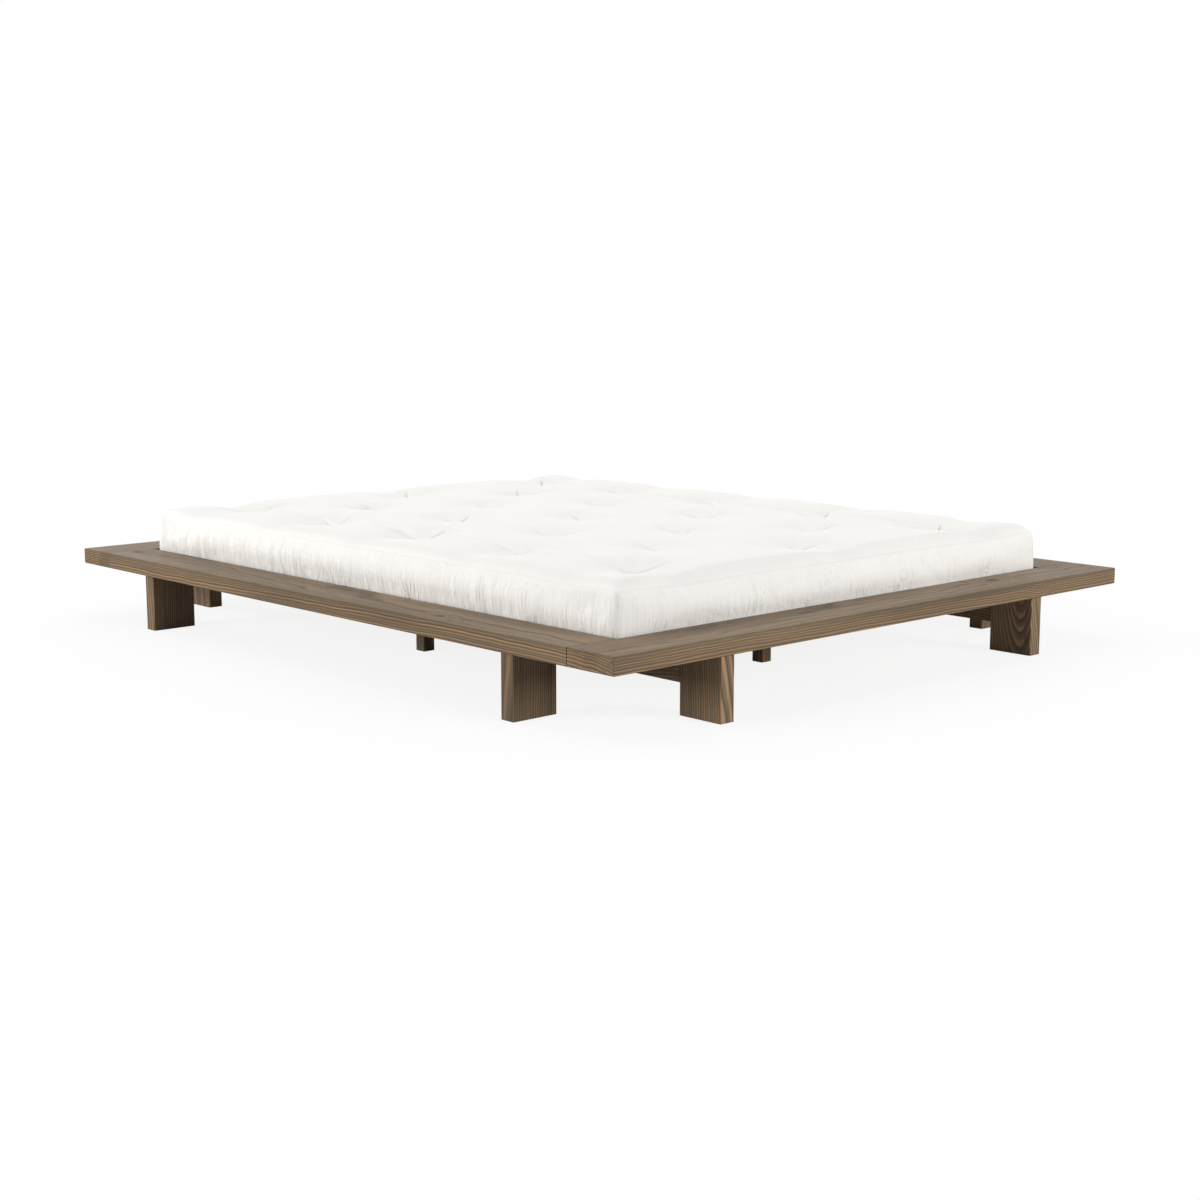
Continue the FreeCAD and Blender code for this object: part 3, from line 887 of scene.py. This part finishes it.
    def _box(self) -> bmesh.types.BMesh:
        """Make a box of even quads, as high as the boxing and open underneath.

        Returns:
            The box.
        """
        bm = bmesh.new()
        columns, rows = (round(2 * half / self.mesh_step) for half in self.half)
        bmesh.ops.create_grid(bm, x_segments=columns, y_segments=rows, size=1.0)
        bmesh.ops.scale(bm, verts=bm.verts, vec=(self.half[0], self.half[1], 1.0))
        bmesh.ops.translate(bm, verts=bm.verts, vec=(0, 0, self.boxing))
        levels = round(self.boxing / self.mesh_step)
        edges = [edge for edge in bm.edges if edge.is_boundary]
        for _ in range(levels):
            made = bmesh.ops.extrude_edge_only(bm, edges=edges)["geom"]
            below = [item for item in made if isinstance(item, bmesh.types.BMVert)]
            bmesh.ops.translate(bm, verts=below, vec=(0, 0, -self.boxing / levels))
            edges = [item for item in made if isinstance(item, bmesh.types.BMEdge) and item.is_boundary]
        bmesh.ops.recalc_face_normals(bm, faces=bm.faces)
        return bm

    def _mark(self, mesh: bpy.types.Mesh, flat: np.ndarray) -> None:
        """Store how far each point lies from the top seam and from the upright corner seams.

        Args:
            mesh: the mesh of the box.
            flat: its points.
        """
        inside = self.half - np.abs(flat[:, :2])
        below = self.boxing - flat[:, 2]
        store(mesh, "from_seam", np.where(below > 1e-5, -below, inside.min(axis=1)))
        store(mesh, "from_corner", inside.max(axis=1))

    def _cushion(self, flat: np.ndarray) -> np.ndarray:
        """Turn the points of the box into a boxed cushion with rounded corners and a crown.

        Args:
            flat: points of the box.

        Returns:
            Points of the cushion.
        """
        plan = flat[:, :2]
        share = flat[:, 2] / self.boxing
        core = np.clip(plan, -(self.half - self.corner), self.half - self.corner)
        off = plan - core
        square = np.abs(off).max(axis=1)
        round_off = np.hypot(off[:, 0], off[:, 1])
        rounding = np.divide(square, round_off, out=np.ones_like(square), where=round_off > 0)
        plan = core + off * rounding[:, None]
        inside = self.half - np.abs(flat[:, :2])
        edge = np.where(np.abs(off).min(axis=1) > 0, self.corner - square, inside.min(axis=1))

        outward = np.divide(off, round_off[:, None], out=np.zeros_like(off), where=round_off[:, None] > 0)
        low = np.clip(flat[:, 2] / self.edge_roll, 0, 1)
        held = smooth_step(inside.max(axis=1), 0.0, self.corner_hold)
        up = (share - self.bulge_from_share) / (1 - self.bulge_from_share)
        barrel = np.sin(math.pi * np.clip(up, 0, 1))
        swell = held * self.bulge * barrel - self.lean * share ** 2
        swell -= self.edge_roll * (1 - np.sqrt(1 - (1 - low) ** 2))
        side = edge < 1e-6
        plan = plan + outward * np.where(side, swell, -self.lean)[:, None]

        rise = np.sqrt(1 - (1 - np.clip(edge / self.crown_width, 0, 1)) ** 2)
        pull = np.exp(-self._from_tufts(plan) / self.tuft_reach)
        dip = self.tuft_depth * pull * smooth_step(edge, 0.0, self.tuft_clear)
        crown = self.crown * rise * (1 - self.edge_dip * self._edge_pull(plan))
        height = flat[:, 2] + self.floor + np.where(share > 0.999, crown - dip, 0.0)
        return np.column_stack([plan, height])

    def _from_tufts(self, plan: np.ndarray) -> np.ndarray:
        """How far each point, seen from above, lies from the nearest tuft."""
        return np.min([np.hypot(*(plan - tuft).T) for tuft in self.tufts], axis=0)

    def _edge_pull(self, plan: np.ndarray) -> np.ndarray:
        """How hard the outer tufts pull the cover down between them and the nearest edge.

        Args:
            plan: points seen from above.

        Returns:
            The pull at each point, from 0 to 1.
        """
        pull = np.zeros(len(plan))
        outer = np.abs(self.tufts).max(axis=0)
        for tuft in self.tufts:
            for axis in (0, 1):
                if abs(tuft[axis]) < outer[axis] - 1e-6:
                    continue
                beyond = plan[:, axis] * np.sign(tuft[axis])
                aside = plan[:, 1 - axis] - tuft[1 - axis]
                near = outer[axis] - self.edge_dip_run
                far = outer[axis] + self.edge_dip_run
                dip = smooth_step(beyond, near, far) * np.exp(-(aside / self.edge_dip_width) ** 2)
                pull = np.maximum(pull, dip)
        return pull

    def _puff(self, piece: bpy.types.Object, rest: np.ndarray) -> None:
        """Blow the cover up between its tufts with a cloth simulation.

        Args:
            piece: the cover.
            rest: its points before the simulation.
        """
        low = rest[:, 2] < self.floor + self.edge_roll * self.pinned_share
        sewn = self._from_tufts(rest[:, :2]) < self.mesh_step * self.sewn_share
        sewn &= rest[:, 2] > self.upper_half
        hold = piece.vertex_groups.new(name="sewn")
        hold.add([int(index) for index in np.flatnonzero(low | sewn)], 1.0, "REPLACE")

        cloth = piece.modifiers.new("puff", "CLOTH")
        settings = cloth.settings
        settings.quality = self.quality
        settings.mass = self.mass
        settings.tension_stiffness = self.stretch_stiffness
        settings.compression_stiffness = self.stretch_stiffness
        settings.shear_stiffness = self.shear_stiffness
        settings.bending_stiffness = self.bend_stiffness
        settings.use_pressure = True
        settings.uniform_pressure_force = self.pressure
        settings.shrink_min = -self.slack
        settings.vertex_group_mass = hold.name
        settings.effector_weights.gravity = 0.0
        cloth.collision_settings.use_collision = False
        for number in range(1, self.frames + 1):
            bpy.context.scene.frame_set(number)
        swollen = baked(piece)
        piece.modifiers.clear()
        bpy.context.scene.frame_set(1)
        move = points_of(swollen) - rest
        bpy.data.meshes.remove(swollen)
        far = np.linalg.norm(move, axis=1)
        LOG.info("cloth: mean move %.1f mm, most %.1f mm", far.mean() * 1000, far.max() * 1000)
        scale = np.minimum(1.0, self.most_swell / np.maximum(far, 1e-9))
        set_points(piece.data, rest + move * scale[:, None])

    def _refine(self, piece: bpy.types.Object) -> None:
        """Subdivide the cover, twice near the tufts, and close it underneath.

        Args:
            piece: the cover, which gets the finer mesh.
        """
        finer = piece.modifiers.new("finer", "SUBSURF")
        finer.levels = 1
        finer.render_levels = 1
        mesh = baked(piece)
        piece.modifiers.clear()
        bm = bmesh.new()
        bm.from_mesh(mesh)
        bpy.data.meshes.remove(mesh)
        plan = np.array([vert.co[:2] for vert in bm.verts])
        height = np.array([vert.co.z for vert in bm.verts])
        near = (self._from_tufts(plan) < self.fine_reach) & (height > self.upper_half)
        bm.verts.index_update()
        edges = [edge for edge in bm.edges if near[edge.verts[0].index] and near[edge.verts[1].index]]
        bmesh.ops.subdivide_edges(bm, edges=edges, cuts=1, use_grid_fill=True)
        bmesh.ops.contextual_create(bm, geom=[edge for edge in bm.edges if edge.is_boundary])
        bmesh.ops.recalc_face_normals(bm, faces=bm.faces)
        bm.to_mesh(piece.data)
        bm.free()

    def _sew(self, piece: bpy.types.Object) -> None:
        """Add creases at the tufts, gathers in the boxing and the groove of the seam.

        Args:
            piece: the cover, after its last subdivision.
        """
        mesh = piece.data
        points = points_of(mesh)
        normals = np.array([vertex.normal for vertex in mesh.vertices])
        from_seam = read(mesh, "from_seam")
        top = smooth_step(from_seam, 0.0, self.crease_clear)
        creases = self._creases(points) * top
        points[:, 2] -= creases
        # the crease depths are kept for the shader, which paints shade into the creases
        store(mesh, "crease", creases / self.crease_depth)
        groove = self.seam_groove * np.exp(-(from_seam / self.seam_width) ** 2)
        moves = self._gathers(points, from_seam) - groove
        set_points(mesh, self._kept_clear(points + normals * moves[:, None]))

    def _kept_clear(self, points: np.ndarray) -> np.ndarray:
        """Keep the cover off the boards, and let it overhang them only above their tops.

        Args:
            points: points of the cover.

        Returns:
            The points, eased back to where there is room.
        """
        rise = np.clip((points[:, 2] - self.overhang_from) / self.overhang_height, 0, 1)
        room = self.half + self.board_gap + self.overhang * np.sin(math.pi / 2 * rise)[:, None]
        spare = room - np.abs(points[:, :2])
        eased = self.ease * np.logaddexp(0.0, spare / self.ease)
        return np.column_stack([np.sign(points[:, :2]) * (room - eased), points[:, 2]])

    def _creases(self, points: np.ndarray) -> np.ndarray:
        """How deep the short creases are that run out from the tufts.

        Args:
            points: points of the cover.

        Returns:
            The depth at each point.
        """
        chance = random.Random(self.seed)
        depth = np.zeros(len(points))
        for tuft in self.tufts:
            first = chance.uniform(-self.crease_turn, self.crease_turn)
            off = points[:, :2] - tuft
            for arm in range(self.crease_arms):
                stray = chance.uniform(-self.crease_stray, self.crease_stray)
                turn = first + arm * math.tau / self.crease_arms + stray
                length = chance.uniform(*self.crease_lengths)
                bend = chance.uniform(-self.crease_bend, self.crease_bend)
                deepest = self.crease_depth * chance.uniform(*self.crease_depth_shares)
                run = off @ np.array([math.cos(turn), math.sin(turn)])
                side = off @ np.array([-math.sin(turn), math.cos(turn)]) - bend * run * run
                fade = np.clip(1 - run / length, 0, 1) * (run > self.crease_start)
                width = self.crease_width + self.crease_flare * np.clip(run, 0, None)
                depth = np.maximum(depth, deepest * fade * np.exp(-(side / width) ** 2))
        return depth

    def _gathers(self, points: np.ndarray, from_seam: np.ndarray) -> np.ndarray:
        """How far the folds of the gathered boxing stand out.

        Args:
            points: points of the cover.
            from_seam: their distances from the top seam, below zero on the boxing.

        Returns:
            The moves along the normals.
        """
        moves = np.zeros(len(points))
        for index in np.flatnonzero(from_seam < 0.0):
            share = -from_seam[index] / self.boxing
            roll, fold, patch = (self._wrinkle(points[index], *scale)
                                 for scale in (self.roll_scale, self.fold_scale, self.patch_scale))
            crease = max(0.0, 1 - abs(fold) / self.fold_width) * max(0.0, patch + self.patch_share)
            soft = self.roll_height * roll + self.fold_height * fold
            soft *= self.gather_top + self.gather_growth * share
            moves[index] = soft - self.fold_crease * crease * min(1.0, share * self.fold_gain)
        return moves

    def _wrinkle(self, point: np.ndarray, along: float, up: float, shift: float) -> float:
        """Smooth noise from -1 to 1, with so many features to a metre along a side and up it."""
        x, y, z = point
        return noise.noise(Vector((x * along, y * along, z * up + shift)))


@dataclass
class Screws:
    """Screw heads and staples, each kind in one mesh."""

    steel: bpy.types.Material
    head_radius: float = 0.0042
    head_height: float = 0.0012
    head_top_share: float = 0.86
    recess_rim_share: float = 0.4
    recess_depth_share: float = 0.7
    plate_spread: Span = (0.015, 0.042)
    ledge_shares: tuple[float, ...] = (-0.8, -0.4, 0.0, 0.4, 0.8)
    ledge_out_share: float = 0.3
    post_shares: Span = (0.62, 0.85)
    tongue_inset: float = 0.03
    tongue_spread: float = 0.010
    tongue_under: float = 0.134
    staple: Point = (0.009, 0.0012, 0.0009)
    staple_spread: float = 0.018
    slats: int = 16

    def build(self) -> list[bpy.types.Object]:
        """Make the screw heads and the staples.

        Returns:
            The two pieces.
        """
        pieces = [self._heads(), self._staples()]
        for piece in pieces:
            dress(piece, self.steel)
            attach(piece, "frame")
        return pieces

    def _places(self) -> list[tuple[Vector, Vector]]:
        """Find where the screw heads sit.

        Returns:
            Each head's place, and which way it faces.
        """
        down = Vector((0, 0, -1))
        places = []
        for end in ("foot", "head"):
            for side in ("left", "right"):
                low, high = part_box(f"{end}_{side}_corner_plate")
                middle = (low + high) / 2
                for x in (-self.plate_spread[0], self.plate_spread[0]):
                    for y in (-self.plate_spread[1], self.plate_spread[1]):
                        places.append((Vector((middle.x + x, middle.y + y, low.z)), down))
        for side, sign in (("left", -1), ("right", 1)):
            low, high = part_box(f"{side}_slat_ledge")
            x = (low.x + high.x) / 2 + sign * self.ledge_out_share * (high.x - low.x)
            for share in self.ledge_shares:
                places.append((Vector((x, share * high.y, low.z)), down))
            low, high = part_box(f"{side}_beam_post")
            inner = high.x if side == "left" else low.x
            facing = Vector((-sign, 0, 0))
            for share in self.post_shares:
                height = low.z + share * (high.z - low.z)
                places.append((Vector((inner, (low.y + high.y) / 2, height)), facing))
        low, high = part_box("centre_rail")
        for end in (low.y + self.tongue_inset, high.y - self.tongue_inset):
            for x in (-self.tongue_spread, self.tongue_spread):
                places.append((Vector((x, end, self.tongue_under)), down))
        return places

    def _heads(self) -> bpy.types.Object:
        """Make all screw heads, each with a drive recess.

        Returns:
            The heads as one piece.
        """
        bm = bmesh.new()
        for place, facing in self._places():
            turn = facing.to_track_quat("Z", "Y").to_matrix().to_4x4()
            at = Matrix.Translation(place + facing * self.head_height / 2) @ turn
            made = bmesh.ops.create_cone(
                bm, cap_ends=True, segments=12, depth=self.head_height, matrix=at,
                radius1=self.head_radius, radius2=self.head_radius * self.head_top_share)
            faces = {face for vert in made["verts"] for face in vert.link_faces}
            front = max(faces, key=lambda face: face.calc_center_median().dot(facing))
            bmesh.ops.inset_region(bm, faces=[front], thickness=self.head_radius * self.recess_rim_share)
            sunk = -facing * self.head_height * self.recess_depth_share
            bmesh.ops.translate(bm, verts=front.verts, vec=sunk)
        return piece_from(bm, "screw_heads")

    def _staples(self) -> bpy.types.Object:
        """Make the staples that hold the tapes to the slats.

        Returns:
            The staples as one piece.
        """
        bm = bmesh.new()
        size = Matrix.Diagonal((*self.staple, 1))
        for side in ("left", "right"):
            tape_low, tape_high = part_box(f"{side}_slat_tape")
            x = (tape_low.x + tape_high.x) / 2
            for number in range(1, self.slats + 1):
                low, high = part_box(f"slat_{number:02d}")
                for off in (-self.staple_spread, self.staple_spread):
                    place = Vector((x, (low.y + high.y) / 2 + off, tape_low.z - self.staple[2] / 2))
                    bmesh.ops.create_cube(bm, size=1.0, matrix=Matrix.Translation(place) @ size)
        return piece_from(bm, "tape_staples")


@dataclass(frozen=True)
class Lamp:
    """A square soft lamp that faces the bed and isn't seen itself."""

    name: str
    place: Point
    power: float
    size: float = 3.0
    aim: Point = (0.0, 0.0, 0.15)

    def build(self) -> None:
        """Add the lamp to the scene."""
        data = bpy.data.lights.new(self.name, "AREA")
        data.size = self.size
        data.energy = self.power
        lamp = bpy.data.objects.new(self.name, data)
        lamp.location = self.place
        lamp.rotation_euler = (Vector(self.aim) - Vector(self.place)).to_track_quat("-Z", "Y").to_euler()
        lamp.visible_camera = False
        lamp.visible_glossy = False
        bpy.context.scene.collection.objects.link(lamp)


@dataclass
class Studio:
    """Plain pale floor, soft light and the camera of the photograph."""

    camera_place: Point = (-3.6188, -3.9946, 0.9588)
    camera_yaw: float = 42.749
    camera_pitch: float = 9.294
    camera_lens: float = 56.97
    camera_sensor: float = 36.0
    camera_sight: float = 200.0
    sky: float = 0.28
    floor_albedo: float = 0.62
    floor_glow: float = 0.78
    floor_near: float = 1.3
    floor_far: float = 2.6
    floor_half: float = 40.0
    lamps: tuple[Lamp, ...] = (
        Lamp("left_softbox", (-9.5, 2.6, 3.1), 600.0),
        Lamp("front_softbox", (2.6, -9.5, 3.1), 620.0),
        Lamp("right_softbox", (9.5, 2.2, 3.1), 430.0),
        Lamp("back_softbox", (-2.6, 9.5, 3.1), 450.0),
        Lamp("overhead_softbox", (0.0, 0.0, 5.0), 44.0),
    )

    def build(self) -> None:
        """Make the camera, the floor, the world and the lamps."""
        self._camera()
        self._floor()
        self._world()
        for lamp in self.lamps:
            lamp.build()
        bpy.context.scene.view_settings.view_transform = "Standard"

    def _camera(self) -> None:
        """Put the camera where the photograph was taken from."""
        data = bpy.data.cameras.new("camera")
        data.lens = self.camera_lens
        data.sensor_width = self.camera_sensor
        data.clip_end = self.camera_sight
        camera = bpy.data.objects.new("camera", data)
        camera.location = self.camera_place
        camera.rotation_euler = (math.radians(90 - self.camera_pitch), 0.0, math.radians(-self.camera_yaw))
        bpy.context.scene.collection.objects.link(camera)
        bpy.context.scene.camera = camera

    def _background_ray(self, shader: Shader) -> Value:
        """Tell the rays that see the background from those that carry light.

        Args:
            shader: the shader that gets the nodes.

        Returns:
            1 for rays that see the background, 0 for the others.
        """
        path = shader.node("ShaderNodeLightPath")
        rays = [Value(shader, path.outputs[name])
                for name in ("Is Camera Ray", "Is Glossy Ray", "Is Transmission Ray")]
        return shader.maths("MAXIMUM", shader.maths("MAXIMUM", rays[0], rays[1]), rays[2])

    def _floor(self) -> None:
        """A wide pale floor that keeps a soft shadow."""
        bm = bmesh.new()
        bmesh.ops.create_grid(bm, x_segments=1, y_segments=1, size=self.floor_half)
        floor = piece_from(bm, "studio_floor")
        material, shader = new_material("studio_floor")
        pale = shader.node("ShaderNodeBsdfDiffuse", None, {"Color": (self.floor_albedo,) * 3 + (1.0,)})
        x, y, _ = shader.object_place()
        away = (x * x + y * y).root().step(self.floor_near, self.floor_far)
        level = (1 - (1 - self.floor_glow) * self.floor_albedo) / self.floor_glow
        glow = shader.node("ShaderNodeEmission", None, {"Strength": level + (1 - level) * away})
        share = self._background_ray(shader) * (self.floor_glow + (1 - self.floor_glow) * away)
        mixed = shader.node("ShaderNodeMixShader", None, {0: share, 1: pale.outputs[0], 2: glow.outputs[0]})
        shader.node("ShaderNodeOutputMaterial", None, {"Surface": mixed.outputs[0]})
        dress(floor, material)

    def _world(self) -> None:
        """White where it is seen, softer where it lights."""
        world = bpy.data.worlds.new("studio")
        world.use_nodes = True
        bpy.context.scene.world = world
        shader = Shader(world.node_tree)
        seen = self._background_ray(shader)
        back = shader.node("ShaderNodeBackground", None,
                           {"Color": (1.0, 1.0, 1.0, 1.0), "Strength": self.sky + (1.0 - self.sky) * seen})
        shader.node("ShaderNodeOutputWorld", None, {"Surface": back.outputs[0]})


def dress_slot(slot: Slot, material: bpy.types.Material) -> None:
    """Give one material to every node of a slot.

    Args:
        slot: the record's material slot.
        material: the material.
    """
    for name, own in SLOT_OF.items():
        if own is slot:
            dress(frame["nodes"][name], material)
            LOG.info("%s: %s", slot.value, name)


def main() -> None:
    """Build the bed's looks in order."""
    logging.basicConfig(level=logging.INFO, format="%(message)s")
    Studio().build()
    Timber().dress()
    steel = ZincSteel().material()
    dress_slot(Slot.STEEL, steel)
    dress_slot(Slot.WEBBING, WovenTape().material())
    mattress = FutonMattress()
    cover = mattress.build()
    for piece in (cover, mattress.build_stitches(cover), *Screws(steel).build()):
        LOG.info("piece: %s", piece.name)


if __name__ == "__main__":
    main()
